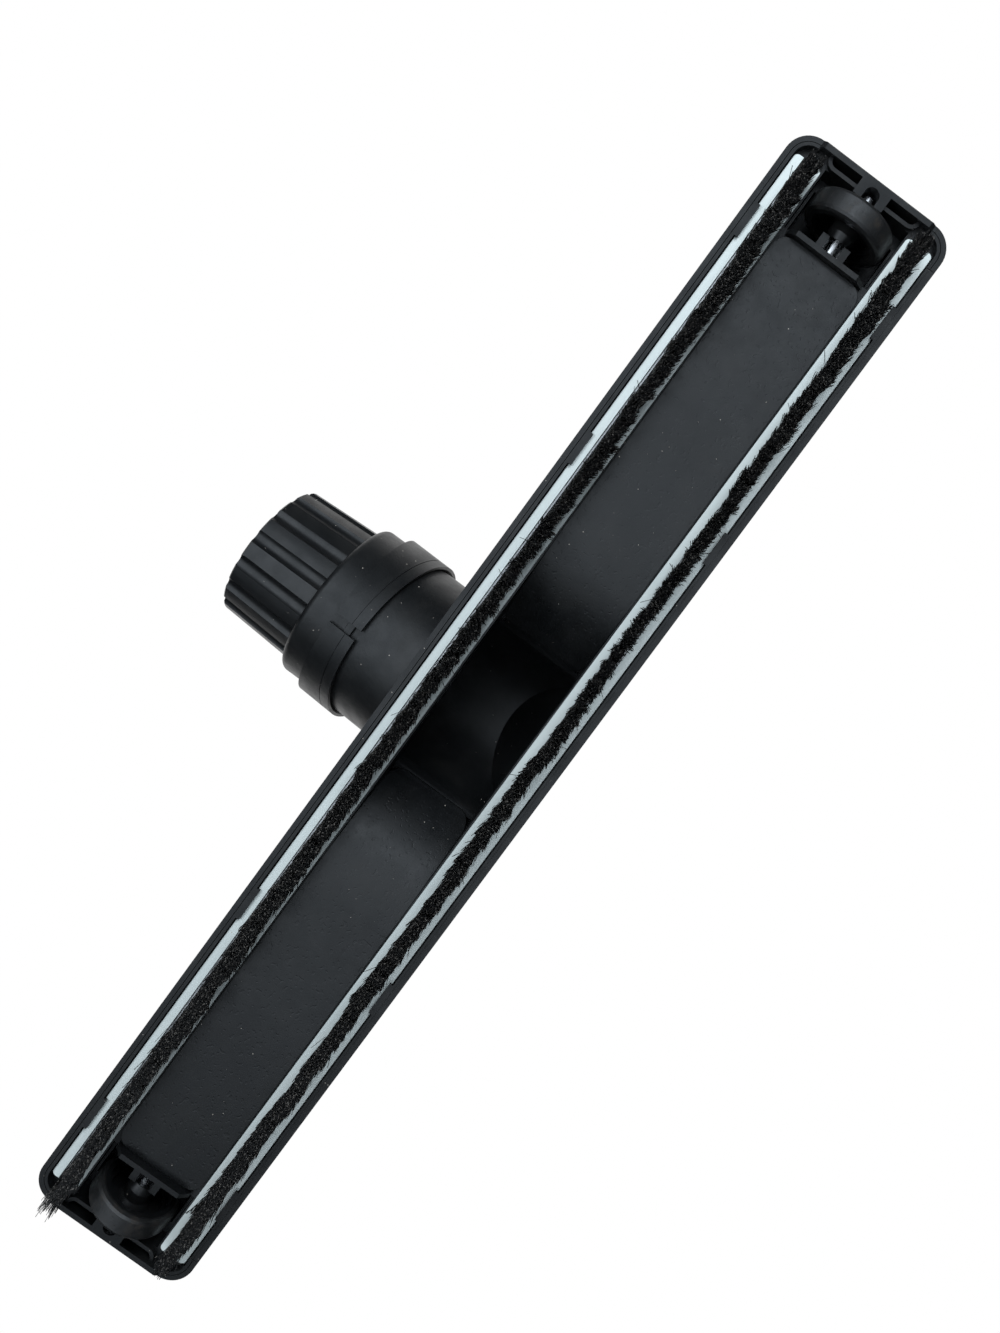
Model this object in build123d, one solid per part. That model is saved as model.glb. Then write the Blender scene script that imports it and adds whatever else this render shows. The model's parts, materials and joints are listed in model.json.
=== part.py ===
from build123d import *
import math
import os

os.makedirs("parts", exist_ok=True)

# Frame: X along the head, +Y towards the neck, Z up, floor at Z 0 under the middle of the head.

# Head shell
head_length = 400.0
head_width = 57.0
corner_radius = 8.0
rim_height = 9.0
shoulder_height = 20.0
roof_height = 34.0
roof_end_inset = 6.0
roof_side_inset = 9.0
roof_corner_radius = 6.0
roof_edge_radius = 2.5
shell_wall = 1.6
end_bar_length = 41.0
end_bar_bottom = 8.0
end_bar_thickness = 2.0
end_bar_slope = 1.4
end_bar_edge = 0.3

# Chassis
wall_seam = 0.2
chassis_wall = 1.0
plate_bottom = 12.0
plate_thickness = 2.0
trough_wall = 1.0
throat_half_length = 24.2
throat_top = 20.0

# Front bumper
bumper_end_inset = 11.0
bumper_end_gap = 0.15
bumper_top = 17.0
bumper_groove_width = 0.25
bumper_groove_depth = 0.3

# Clip tabs that hold the strips
tab_places = (0.43, 0.843)
tab_length = 11.4
tab_reach = 1.15

# Brush strips: half widths are measured from the middle of the head
strip_centre = 20.7
slot_width = 3.7
inner_flange_edge = 15.95
outer_flange_edge = 25.2
flange_thickness = 2.1
flange_end_radius = 1.4
carrier_end_inset = 7.0
carrier_web = 1.0
carrier_channel_top = 19.0
strip_end_gap = 0.3
channel_gauge = 0.5
channel_lip_height = 12.8
tip_width = 4.4
rear_tip_lean = 1.8
front_tip_lean = 0.4

# Deck plates
deck_thickness = 1.6
deck_half_width = 15.45
deck_throat_gap = 0.4
deck_corner_radius = 5.0
deck_edge_chamfer = 0.4

# Wheels and their pockets
wheel_radius = 13.75
wheel_width = 7.6
wheel_inset = 17.5
tyre_thickness = 1.85
tyre_crown = 0.45
tyre_shoulder = 1.3
hub_radius = 4.4
hub_step = 0.8
cup_depth = 4.7
cup_step = 1.5
web_recess = 1.0
hub_inner_reach = 2.3
hub_outer_reach = 2.5
axle_radius = 2.0
axle_clearance = 0.06
axle_inner_inset = 26.4
axle_outer_inset = 2.8
axle_chamfer = 0.8
pocket_inset = 25.5
pocket_end_inset = 5.0
pocket_wall = 1.2
pocket_wheel_gap = 0.9
bracket_thickness = 1.6
bracket_bottom = 7.4
bracket_half_top = 13.8
bracket_half_bottom = 11.0
bracket_slope = 3.2
lug_reach = 4.6
lug_half_width = 5.0
lug_bottom = 8.8
lug_entry = 0.7
block_inset = 7.0
block_notch_gap = 0.4
slot_corner_radius = 2.0
rib_bottom = 10.0
block_half_width = 5.2

# Duct and neck
duct_start_height = 42.1
duct_rise = 11.5
bore_radius = 27.6
duct_wall = 1.8
duct_vertex_y = -5.8
duct_front_slope = 53.0
sill_run = 13.0
stub_end = 17.5
bead_width = 2.5
bead_height = 1.0
swivel_gap = 0.3
running_gap = 0.08
clip_ring_start = 12.35
clip_ring_radius = 31.3
clip_ring_length = 15.8
clip_ring_slot = 3.6
clip_ring_chamfer = 0.8
clip_ring_line = 3.5
clip_ring_line_width = 0.25
clip_ring_line_depth = 0.2
sleeve_radius = 29.8
collar_radius = 29.15
collar_length = 9.6
collar_lip_radius = 2.2
seal_inner_radius = 28.1
seal_width = 1.1
seal_depth = 1.2
cuff_rise = 1.5
cuff_length = 27.0
cuff_base_radius = 25.9
cuff_end_radius = 24.4
cuff_rib_count = 16
cuff_groove_radius = 3.0
cuff_groove_depth = 1.25
cuff_end_chamfer = 0.5
spigot_radius = 21.6
throat_step = 0.8
collar_root = 3.0
wand_bore_radius = 19.15
wand_socket_length = 34.0

# Places worked out from the sizes above
half_length = head_length / 2
half_width = head_width / 2
inner_half_length = half_length - shell_wall
inner_half_width = half_width - shell_wall
inner_radius = corner_radius - shell_wall
rim_inner_edge = inner_half_width - wall_seam - chassis_wall
plate_top = plate_bottom + plate_thickness
flange_face = plate_bottom - flange_thickness
deck_face = plate_bottom - deck_thickness
axle_height = wheel_radius
lug_roof = axle_height + 2 * axle_radius
slot_inner = strip_centre - slot_width / 2
slot_outer = strip_centre + slot_width / 2
channel_roof = carrier_channel_top - carrier_web
carrier_length = head_length - 2 * carrier_end_inset
strip_half_length = carrier_length / 2 - carrier_web - strip_end_gap
bumper_half_length = half_length - bumper_end_inset
wheel_inner_face = half_length - wheel_inset
wheel_outer_face = wheel_inner_face + wheel_width
axle_inner_end = half_length - axle_inner_inset
axle_outer_end = half_length - axle_outer_inset
pocket_start = half_length - pocket_inset
pocket_end = half_length - pocket_end_inset
block_inner_face = half_length - block_inset
bar_inner_face = half_length - end_bar_thickness
reach = 3 * head_length


def mirrored(shape):
    """The same shape at the other end of the head."""
    return shape.mirror(Plane.YZ)


def flipped(shape):
    """The same shape on the other long side of the head."""
    return shape.mirror(Plane.XZ)


def slab(x_range, y_range, z_range):
    """Box between two corners."""
    sizes = [high - low for low, high in (x_range, y_range, z_range)]
    centre = [(high + low) / 2 for low, high in (x_range, y_range, z_range)]
    return Pos(*centre) * Box(*sizes)


def rounded_slab(length, width, radius, bottom, top):
    """Upright block with rounded corners, centred on the head."""
    return extrude(Plane.XY.offset(bottom) * RectangleRounded(length, width, radius), amount=top - bottom)


def long_profile(points, half):
    """Outline in the YZ plane carried along the head to both sides of the middle."""
    return extrude(Plane.YZ * make_face(Polyline(*points, close=True)), amount=half, both=True)


def axis_plane(start_y, start_z, rise, distance):
    """Plane square to an axis that climbs towards the rear."""
    angle = math.radians(rise)
    direction = (0, math.cos(angle), math.sin(angle))
    origin = (0, start_y + distance * direction[1], start_z + distance * direction[2])
    return Plane(origin=origin, x_dir=(1, 0, 0), z_dir=direction)


def duct_plane(distance):
    """Plane square to the swivel axis; distance 0 is at the rear wall of the head."""
    return axis_plane(half_width, duct_start_height, duct_rise, distance)


mitre_origin = duct_plane(clip_ring_start + clip_ring_length).origin


def cuff_plane(distance):
    """Plane square to the wand axis; distance 0 is at the rear face of the clip ring."""
    return axis_plane(mitre_origin.Y, mitre_origin.Z, cuff_rise, distance)


def barrel(plane, radius, length):
    """Cylinder that starts on a plane."""
    return extrude(plane * Circle(radius), amount=length)


def beyond(plane):
    """Everything past a plane."""
    return extrude(plane * Rectangle(reach, reach), amount=reach)


def duct_axis_height(y):
    """Height of the swivel axis above the floor."""
    return duct_start_height + (y - half_width) * math.tan(math.radians(duct_rise))


def arched_run(radius, front_y, rear_y, bottom):
    """Duct with a round top and straight sides, between two upright planes."""
    drop = duct_start_height
    arch = [Line((radius, drop), (radius, 0)), ThreePointArc((radius, 0), (0, -radius), (-radius, 0)),
            Line((-radius, 0), (-radius, drop)), Line((-radius, drop), (radius, drop))]
    start = front_y - half_width - radius
    run = extrude(duct_plane(start) * make_face(arch), amount=rear_y - front_y + 3 * radius)
    return run & slab((-reach, reach), (front_y, rear_y), (bottom, reach))


def front_slope(offset):
    """Plane of the flat wall that closes the duct at the front, moved outward by an offset."""
    vertex_height = duct_axis_height(duct_vertex_y) + bore_radius / math.cos(math.radians(duct_rise))
    slope = math.radians(duct_front_slope)
    normal = (0, -math.sin(slope), math.cos(slope))
    return Plane(origin=(0, duct_vertex_y, vertex_height), x_dir=(1, 0, 0), z_dir=normal).offset(offset)


def duct_skin():
    """Outside of the duct and the stub, before it is hollowed."""
    radius = bore_radius + duct_wall
    skin = arched_run(radius, -inner_half_width, half_width, throat_top) - beyond(front_slope(duct_wall))
    stub = barrel(duct_plane(-radius), radius, stub_end + radius)
    stub -= slab((-reach, reach), (-reach, half_width), (-reach, reach))
    bead = barrel(duct_plane(stub_end - bead_width), radius + bead_height, bead_width)
    return skin + stub + bead


def duct_hollow():
    """Air way inside the duct, above its sill."""
    hollow = arched_run(bore_radius, -inner_half_width + duct_wall, inner_half_width, throat_top)
    hollow -= beyond(front_slope(0))
    bore = barrel(duct_plane(-bore_radius), bore_radius, 2 * bore_radius)
    bore -= slab((-reach, reach), (-reach, inner_half_width), (-reach, reach))
    bore -= long_profile(sill_outline(), reach / 2)
    return hollow + bore


def sill_outline():
    """Sloping sill between the floor of the duct and the round bore."""
    end_y = inner_half_width + sill_run
    end_height = duct_axis_height(end_y) - bore_radius / math.cos(math.radians(duct_rise))
    return [(0, 0), (0, throat_top), (inner_half_width, throat_top), (end_y, end_height), (end_y, 0)]


def upper_housing():
    """Moulded top shell with the duct, the neck stub and the two end bars."""
    outer = rounded_slab(head_length, head_width, corner_radius, rim_height, shoulder_height)
    outer += roof(head_length, head_width, corner_radius, roof_height, roof_end_inset, roof_corner_radius)
    outer = fillet(outer.edges().group_by(Axis.Z)[-1], roof_edge_radius)
    cavity = rounded_slab(2 * inner_half_length, 2 * inner_half_width, inner_radius, rim_height, shoulder_height)
    cavity += roof(2 * inner_half_length, 2 * inner_half_width, inner_radius, roof_height - shell_wall,
                   roof_end_inset - shell_wall / 2, roof_corner_radius - shell_wall)
    shell = outer - cavity + duct_skin()
    shell -= duct_hollow()
    shell -= slab((-bumper_half_length, bumper_half_length), (-half_width, -inner_half_width),
                  (rim_height, bumper_top))
    for end in (1, -1):
        shell += end_bar(end)
    return shell


def roof(length, width, radius, top, end_inset, top_radius):
    """Sloped roof between the shoulder line and the flat top."""
    lower = Plane.XY.offset(shoulder_height) * RectangleRounded(length, width, radius)
    upper = Plane.XY.offset(top) * RectangleRounded(
        length - 2 * end_inset, width - 2 * roof_side_inset, top_radius)
    return loft([lower, upper])


def end_bar(end):
    """Wear bar that stands below the rim at one end, with sloped ends and a broken outer edge."""
    half = end_bar_length / 2
    outline = Polyline((-half, rim_height), (-half + end_bar_slope, end_bar_bottom),
                       (half - end_bar_slope, end_bar_bottom), (half, rim_height), close=True)
    bar = extrude(Plane.YZ * make_face(outline), amount=end_bar_thickness)
    low_edges = bar.edges().filter_by(Axis.Y).group_by(Axis.Z)[0]
    bar = Pos(bar_inner_face, 0, 0) * chamfer(low_edges.sort_by(Axis.X)[-1], end_bar_edge)
    return bar if end > 0 else mirrored(bar)


def base_chassis():
    """Under frame: sole plate, rim wall, strip troughs, throat block, wheel pockets and axle holders."""
    frame = rounded_slab(2 * inner_half_length, 2 * inner_half_width, inner_radius, plate_bottom, plate_top)
    wall_radius = inner_radius - wall_seam
    frame += (rounded_slab(2 * (inner_half_length - wall_seam), 2 * (inner_half_width - wall_seam),
                           wall_radius, rim_height, plate_bottom)
              - rounded_slab(2 * (inner_half_length - wall_seam - chassis_wall), 2 * rim_inner_edge,
                             wall_radius - chassis_wall, rim_height, plate_bottom))
    half_carrier = carrier_length / 2 - carrier_web
    trough = slab((-half_carrier - trough_wall, half_carrier + trough_wall),
                  (slot_inner - carrier_web - trough_wall, slot_outer + carrier_web + trough_wall),
                  (plate_top, carrier_channel_top + trough_wall))
    trough_cut = slab((-half_carrier, half_carrier), (slot_inner - carrier_web, slot_outer + carrier_web),
                      (plate_bottom, carrier_channel_top))
    frame += trough + flipped(trough)
    duct_half = bore_radius + duct_wall
    frame += slab((-duct_half, duct_half), (-inner_half_width + wall_seam, inner_half_width - wall_seam),
                  (plate_top, throat_top))
    for side in (1, -1):
        frame += pocket_shell() if side > 0 else mirrored(pocket_shell())
    frame -= trough_cut + flipped(trough_cut)
    frame -= slab((-throat_half_length, throat_half_length), (-deck_half_width, deck_half_width),
                  (plate_bottom, throat_top))
    for side in (1, -1):
        frame -= pocket_space() if side > 0 else mirrored(pocket_space())
    frame -= slab((-bumper_half_length, bumper_half_length), (-inner_half_width, -rim_inner_edge),
                  (rim_height, plate_bottom))
    holders = axle_holders()
    frame += holders + mirrored(holders)
    for tab in strip_tabs():
        frame += tab
    seats = axle_seats()
    return frame - seats - mirrored(seats)


def pocket_shell():
    """Walls and roof of one wheel pocket, before it is hollowed."""
    low = slab((pocket_start - bracket_thickness, pocket_end + pocket_wall),
               (-deck_half_width - pocket_wall, deck_half_width + pocket_wall), (plate_top, throat_top))
    wheel_half = wheel_radius + pocket_wheel_gap
    top = axle_height + wheel_half
    high = slab((pocket_start - bracket_thickness, wheel_outer_face + pocket_wheel_gap + pocket_wall),
                (-wheel_half - pocket_wall, wheel_half + pocket_wall), (plate_top, top + pocket_wall))
    return low + high


def pocket_space():
    """Open room around one wheel, with the slot behind the end bar."""
    low = slab((pocket_start, pocket_end), (-deck_half_width, deck_half_width),
               (plate_bottom, throat_top - pocket_wall))
    wheel_half = wheel_radius + pocket_wheel_gap
    high = slab((pocket_start, wheel_outer_face + pocket_wheel_gap), (-wheel_half, wheel_half),
                (plate_bottom, axle_height + wheel_half))
    rim_gap = slab((pocket_end + pocket_wall, inner_half_length),
                   (-end_bar_length / 2, end_bar_length / 2), (rim_height, plate_bottom))
    return low + high + rim_gap + end_slot(0, plate_bottom, plate_top)


def end_slot(margin, bottom, top):
    """Slot behind the end bar, with rounded inner corners; a margin makes its outside."""
    depth = inner_half_length - pocket_end - pocket_wall + margin
    outline = RectangleRounded(2 * depth, 2 * (deck_half_width + margin), slot_corner_radius + margin)
    block = extrude(Plane.XY.offset(bottom) * Pos(inner_half_length, 0) * outline, amount=top - bottom)
    return block & slab((0, inner_half_length), (-reach, reach), (bottom, top))


def axle_holders():
    """Inner bracket with two lugs, end rib and outer block that carry one axle."""
    bracket_outline = [(-bracket_half_top, plate_bottom), (-bracket_half_top, bracket_bottom + bracket_slope),
                       (-bracket_half_bottom, bracket_bottom), (bracket_half_bottom, bracket_bottom),
                       (bracket_half_top, bracket_bottom + bracket_slope), (bracket_half_top, plate_bottom)]
    bracket = extrude(Plane.YZ * make_face(Polyline(*bracket_outline, close=True)), amount=bracket_thickness)
    holder = Pos(pocket_start - bracket_thickness, 0, 0) * bracket
    entry = axle_radius + lug_entry
    lug_outline = [(axle_radius, lug_roof), (axle_radius, axle_height - axle_radius),
                   (entry, lug_bottom), (lug_half_width, lug_bottom), (lug_half_width, lug_roof)]
    lug = extrude(Plane.YZ * make_face(Polyline(*lug_outline, close=True)), amount=lug_reach)
    lug = Pos(pocket_start, 0, 0) * lug
    saddle = slab((pocket_start, pocket_start + lug_reach), (-axle_radius, axle_radius),
                  (axle_height, lug_roof))
    rib = end_slot(pocket_wall, rib_bottom, plate_bottom) - end_slot(0, rib_bottom, plate_bottom)
    block = slab((block_inner_face, bar_inner_face), (-block_half_width, block_half_width),
                 (end_bar_bottom, throat_top - pocket_wall))
    return holder + lug + flipped(lug) + saddle + rib + block


def axle_seats():
    """Room for the left axle in its holders, open downward so that it snaps in."""
    axle_line = Plane(origin=(axle_inner_end, 0, axle_height), x_dir=(0, 1, 0), z_dir=(1, 0, 0))
    seats = barrel(axle_line, axle_radius, axle_outer_end - axle_inner_end)
    seats += slab((pocket_start, pocket_start + lug_reach), (-axle_radius, axle_radius), (lug_bottom, axle_height))
    notch_radius = axle_radius + block_notch_gap
    notch_centre = axle_outer_end + block_notch_gap - notch_radius
    notch = slab((block_inner_face, notch_centre), (-notch_radius, notch_radius), (end_bar_bottom, axle_height))
    notch += extrude(Plane.XY.offset(end_bar_bottom) * Pos(notch_centre, 0) * Circle(notch_radius),
                     amount=axle_height - end_bar_bottom)
    return seats + notch


def strip_tabs():
    """Four tabs on the rear rim wall that hold the strip up."""
    tabs = []
    for place in tab_places:
        for centre in (place * half_length, -place * half_length):
            tabs.append(slab((centre - tab_length / 2, centre + tab_length / 2),
                             (rim_inner_edge - tab_reach, rim_inner_edge), (rim_height, flange_face)))
    return tabs


def front_bumper():
    """Front rim strip with four tabs, let into the front edge of the shell."""
    half = bumper_half_length - bumper_end_gap
    bumper = slab((-half, half), (-half_width, -rim_inner_edge), (rim_height, plate_bottom))
    bumper += slab((-half, half), (-half_width, -inner_half_width), (plate_bottom, bumper_top))
    groove_y = -inner_half_width + wall_seam
    bumper -= slab((-half, half), (groove_y, groove_y + bumper_groove_width),
                   (rim_height, rim_height + bumper_groove_depth))
    for tab in strip_tabs():
        bumper += flipped(tab)
    return bumper


def strip_carrier():
    """Light plastic holder of the rear strip: two flanges joined by a deep channel."""
    length = carrier_length
    width = outer_flange_edge - inner_flange_edge
    middle = (outer_flange_edge + inner_flange_edge) / 2
    flange = Pos(0, middle, 0) * rounded_slab(length, width, flange_end_radius, flange_face, plate_bottom)
    half = length / 2 - carrier_web
    channel = slab((-half, half), (slot_inner - carrier_web, slot_outer + carrier_web),
                   (plate_bottom, carrier_channel_top))
    slot = slab((-length, length), (slot_inner, slot_outer), (flange_face, channel_roof))
    return flange + channel - slot


def strip_channel():
    """Folded metal channel that grips the roots of the rear bristles."""
    half = strip_half_length
    outer = slab((-half, half), (slot_inner, slot_outer), (channel_lip_height, channel_roof))
    inner = slab((-half, half), (slot_inner + channel_gauge, slot_outer - channel_gauge),
                 (channel_lip_height, channel_roof - channel_gauge))
    return outer - inner


def bristle_pack(lean):
    """Dense row of bristles of the rear strip; its tips stand on the floor."""
    root_half = slot_width / 2 - channel_gauge
    tip_centre = strip_centre - lean
    outline = [(strip_centre - root_half, channel_roof - channel_gauge),
               (strip_centre - root_half, flange_face),
               (tip_centre - tip_width / 2, 0), (tip_centre + tip_width / 2, 0),
               (strip_centre + root_half, flange_face),
               (strip_centre + root_half, channel_roof - channel_gauge)]
    return long_profile(outline, strip_half_length)


def deck_plate():
    """Flat sole plate between the throat and the wheel of the left end."""
    start = throat_half_length + deck_throat_gap
    end = pocket_start - bracket_thickness
    plate = Pos((start + end) / 2, 0, 0) * rounded_slab(
        end - start, 2 * deck_half_width, deck_corner_radius, deck_face, plate_bottom)
    return chamfer(plate.edges().group_by(Axis.Z)[0], deck_edge_chamfer)


def axle():
    """Steel pin of the left wheel."""
    plane = Plane(origin=(axle_inner_end, 0, axle_height), x_dir=(0, 1, 0), z_dir=(1, 0, 0))
    pin = barrel(plane, axle_radius, axle_outer_end - axle_inner_end)
    return chamfer(pin.edges().filter_by(GeomType.CIRCLE), axle_chamfer)


def turned(points):
    """Solid turned about the axle line from radius and X pairs."""
    outline = [(x, 0, axle_height + radius) for radius, x in points]
    face = make_face(Polyline(*outline, close=True))
    return revolve(face, axis=Axis((0, 0, axle_height), (1, 0, 0)))


def wheel():
    """Hollow left wheel, its stepped cup open towards the middle of the head."""
    bore = axle_radius + axle_clearance
    rim = wheel_radius - tyre_thickness
    inner = wheel_inner_face
    outer = wheel_outer_face
    inner_end = inner - hub_inner_reach
    outer_end = outer + hub_outer_reach
    return turned([
        (bore, inner_end), (hub_radius - hub_step, inner_end), (hub_radius, inner_end + hub_inner_reach),
        (hub_radius, inner + cup_depth - cup_step), (hub_radius + cup_step, inner + cup_depth),
        (rim - 2 * cup_step, inner + cup_depth), (rim - 2 * cup_step, inner + cup_depth / 2),
        (rim - cup_step, inner + cup_depth / 2), (rim - cup_step, inner), (rim, inner),
        (rim, outer), (rim - cup_step, outer), (rim - 2 * cup_step, outer - web_recess),
        (hub_radius, outer - web_recess), (hub_radius - hub_step, outer_end), (bore, outer_end)])


def tyre():
    """Soft tread of the left wheel, slightly crowned, with rounded shoulders."""
    rim = wheel_radius - tyre_thickness
    shoulder = wheel_radius - tyre_crown
    edge = wheel_radius - tyre_shoulder
    inner = wheel_inner_face
    outer = wheel_outer_face
    return turned([(rim, inner), (edge, inner), (shoulder, inner + tyre_crown), (wheel_radius, inner + tyre_shoulder),
                   (wheel_radius, outer - tyre_shoulder), (shoulder, outer - tyre_crown), (edge, outer), (rim, outer)])


def clip_ring():
    """Split ring that hooks over the bead of the stub and grips the elbow."""
    front = clip_ring_start
    ring = barrel(duct_plane(front), clip_ring_radius, clip_ring_length + clip_ring_radius)
    ring -= beyond(cuff_plane(0))
    stub_radius = bore_radius + duct_wall
    ring -= barrel(duct_plane(front), stub_radius + running_gap, stub_end - front)
    bead_start = stub_end - bead_width
    ring -= barrel(duct_plane(bead_start - swivel_gap), stub_radius + bead_height + swivel_gap,
                   bead_width + 2 * swivel_gap)
    ring -= barrel(duct_plane(stub_end), sleeve_radius, clip_ring_length + clip_ring_radius)
    wide_mouth = duct_plane(front) * Circle(stub_radius + running_gap + clip_ring_chamfer)
    narrow_mouth = duct_plane(front + clip_ring_chamfer) * Circle(stub_radius + running_gap)
    ring -= loft([wide_mouth, narrow_mouth])
    line_plane = duct_plane(front + clip_ring_line)
    line = barrel(line_plane, clip_ring_radius, clip_ring_line_width)
    line -= barrel(line_plane, clip_ring_radius - clip_ring_line_depth, clip_ring_line_width)
    ring -= line
    slot = slab((-clip_ring_slot / 2, clip_ring_slot / 2), (0, reach), (-reach, duct_start_height))
    return ring - slot


def neck_elbow():
    """Bent collar with a sleeve inside the clip ring and a spigot for the wand."""
    start = stub_end + swivel_gap
    sleeve = barrel(duct_plane(start), sleeve_radius, clip_ring_length + sleeve_radius)
    sleeve -= beyond(cuff_plane(0))
    collar = barrel(cuff_plane(-collar_root), collar_radius, collar_length + collar_root)
    lip_edge = collar.edges().filter_by(GeomType.CIRCLE).sort_by(Axis.Y)[-1]
    collar = fillet(lip_edge, collar_lip_radius)
    end = collar_length + cuff_length
    spigot = barrel(cuff_plane(0), spigot_radius, end)
    elbow = sleeve + collar + spigot
    socket_bottom = end - wand_socket_length
    throat = loft([duct_plane(start) * Circle(bore_radius - throat_step),
                   cuff_plane(socket_bottom) * Circle(wand_bore_radius)], ruled=True)
    elbow -= throat
    elbow -= barrel(cuff_plane(socket_bottom), wand_bore_radius, wand_socket_length)
    seat = barrel(duct_plane(start), seal_inner_radius + seal_width, seal_depth)
    seat -= barrel(duct_plane(start), seal_inner_radius, seal_depth)
    return elbow - seat


def seal_ring():
    """Flat ring seal between the stub and the elbow."""
    start = stub_end + swivel_gap / 2
    depth = seal_depth + swivel_gap / 2
    ring = barrel(duct_plane(start), seal_inner_radius + seal_width, depth)
    return ring - barrel(duct_plane(start), seal_inner_radius, depth)


def ribbed_cuff():
    """Tapered grip over the spigot, with flat lands between rounded grooves."""
    base = cuff_plane(collar_length)
    end = cuff_plane(collar_length + cuff_length)
    cuff = loft([base * Circle(cuff_base_radius), end * Circle(cuff_end_radius)])
    cuff = chamfer(cuff.edges().filter_by(GeomType.CIRCLE).sort_by(Axis.Y)[-1], cuff_end_chamfer)
    cuff -= barrel(base, spigot_radius, cuff_length)
    lift = cuff_groove_radius - cuff_groove_depth
    for index in range(cuff_rib_count):
        angle = 360.0 * (index + 0.5) / cuff_rib_count
        near = base.offset(-1) * Pos((cuff_base_radius + lift) * math.cos(math.radians(angle)),
                                     (cuff_base_radius + lift) * math.sin(math.radians(angle)))
        far = end.offset(1) * Pos((cuff_end_radius + lift) * math.cos(math.radians(angle)),
                                  (cuff_end_radius + lift) * math.sin(math.radians(angle)))
        run = far.position - near.position
        cutter = Plane(origin=near.position, z_dir=run)
        cuff -= barrel(cutter, cuff_groove_radius, run.length)
    return cuff


parts = {
    "upper_housing": upper_housing(),
    "base_chassis": base_chassis(),
    "front_bumper": front_bumper(),
    "rear_strip_carrier": strip_carrier(),
    "front_strip_carrier": flipped(strip_carrier()),
    "rear_strip_channel": strip_channel(),
    "front_strip_channel": flipped(strip_channel()),
    "rear_bristles": bristle_pack(rear_tip_lean),
    "front_bristles": flipped(bristle_pack(front_tip_lean)),
    "left_deck_plate": deck_plate(),
    "right_deck_plate": mirrored(deck_plate()),
    "left_axle": axle(),
    "right_axle": mirrored(axle()),
    "left_wheel": wheel(),
    "right_wheel": mirrored(wheel()),
    "left_tyre": tyre(),
    "right_tyre": mirrored(tyre()),
    "clip_ring": clip_ring(),
    "neck_elbow": neck_elbow(),
    "seal_ring": seal_ring(),
    "ribbed_cuff": ribbed_cuff(),
}

for name, shape in parts.items():
    export_step(shape, f"parts/{name}.step")
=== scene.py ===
# %% [markdown]
# # Vacuum floor brush head, seen from below
#
# A long black head lies over the camera. Two rows of black bristles stand in white strips along
# its front and rear edges, a wheel turns at each end, and a swivelling neck leaves at the rear. The
# frame holds every rigid piece at its real size. This script gives the pieces their finishes, bends
# the soles, plants the bristles, and sets the light and the camera.

import json

import bmesh
import bpy
import numpy as np
from mathutils import Matrix, Vector
from mathutils.kdtree import KDTree


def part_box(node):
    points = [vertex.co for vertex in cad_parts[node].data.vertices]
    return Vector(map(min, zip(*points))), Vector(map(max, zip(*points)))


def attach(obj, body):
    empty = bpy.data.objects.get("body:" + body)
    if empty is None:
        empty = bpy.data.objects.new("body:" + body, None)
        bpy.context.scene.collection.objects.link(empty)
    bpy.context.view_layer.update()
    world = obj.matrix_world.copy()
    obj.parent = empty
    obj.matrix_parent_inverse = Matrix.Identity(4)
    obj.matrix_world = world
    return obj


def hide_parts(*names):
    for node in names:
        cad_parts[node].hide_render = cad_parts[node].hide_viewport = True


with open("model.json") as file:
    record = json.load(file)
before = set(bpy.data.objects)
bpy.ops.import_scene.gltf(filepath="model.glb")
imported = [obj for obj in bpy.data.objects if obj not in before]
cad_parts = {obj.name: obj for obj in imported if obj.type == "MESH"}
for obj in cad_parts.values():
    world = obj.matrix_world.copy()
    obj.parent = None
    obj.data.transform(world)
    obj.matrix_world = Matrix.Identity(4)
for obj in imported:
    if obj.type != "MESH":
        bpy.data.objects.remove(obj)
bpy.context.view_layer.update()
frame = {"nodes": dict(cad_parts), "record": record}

# %% [markdown]
# ## Camera
#
# The photograph was taken from below with a camera held close, so the perspective is strong. The
# place of the lens and its direction were fitted to the corners of the head, its tabs and its
# wheels. A camera object looks along its own -Z axis, so its turn is built from the view direction
# and from the direction that is up in the picture.

# %% Camera from a place, an aim and an up direction
picture_width, picture_height = 1000, 1333
focal_length_px = 982.4
lens_centre_px = (594.7, 647.0)
camera_place = Vector((-0.05563, -0.00413, -0.28675))
camera_aim = Vector((-0.04080, -0.01354, 0.00900))
picture_up = Vector((-0.8026, 0.5933, 0.0591))
sensor_width_mm = 36.0
nearest_seen = 0.01


def add_camera():
    """Camera at the photograph's viewpoint."""
    camera = bpy.data.cameras.new("photo_camera")
    camera.sensor_width = sensor_width_mm
    camera.lens = focal_length_px / picture_height * camera.sensor_width
    camera.shift_x = -(lens_centre_px[0] - picture_width / 2) / picture_height
    camera.shift_y = (lens_centre_px[1] - picture_height / 2) / picture_height
    camera.clip_start = nearest_seen
    holder = bpy.data.objects.new("photo_camera", camera)
    bpy.context.scene.collection.objects.link(holder)
    back = (camera_place - camera_aim).normalized()
    right = picture_up.cross(back).normalized()
    up = back.cross(right)
    turn = Matrix((right, up, back)).transposed().to_4x4()
    holder.matrix_world = Matrix.Translation(camera_place) @ turn
    bpy.context.scene.camera = holder
    return camera


lens = add_camera()
bpy.context.scene.view_settings.view_transform = "Standard"
print("lens:", round(lens.lens, 2), "mm, shift", round(lens.shift_x, 3), round(lens.shift_y, 3))

# %% [markdown]
# ## Node helpers
#
# Every finish is a small graph of shader nodes. A few small helpers keep the graphs readable: they
# add a node, join two sockets, map one range of values onto another, sample noise, do arithmetic,
# and mix two colours.

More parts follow.
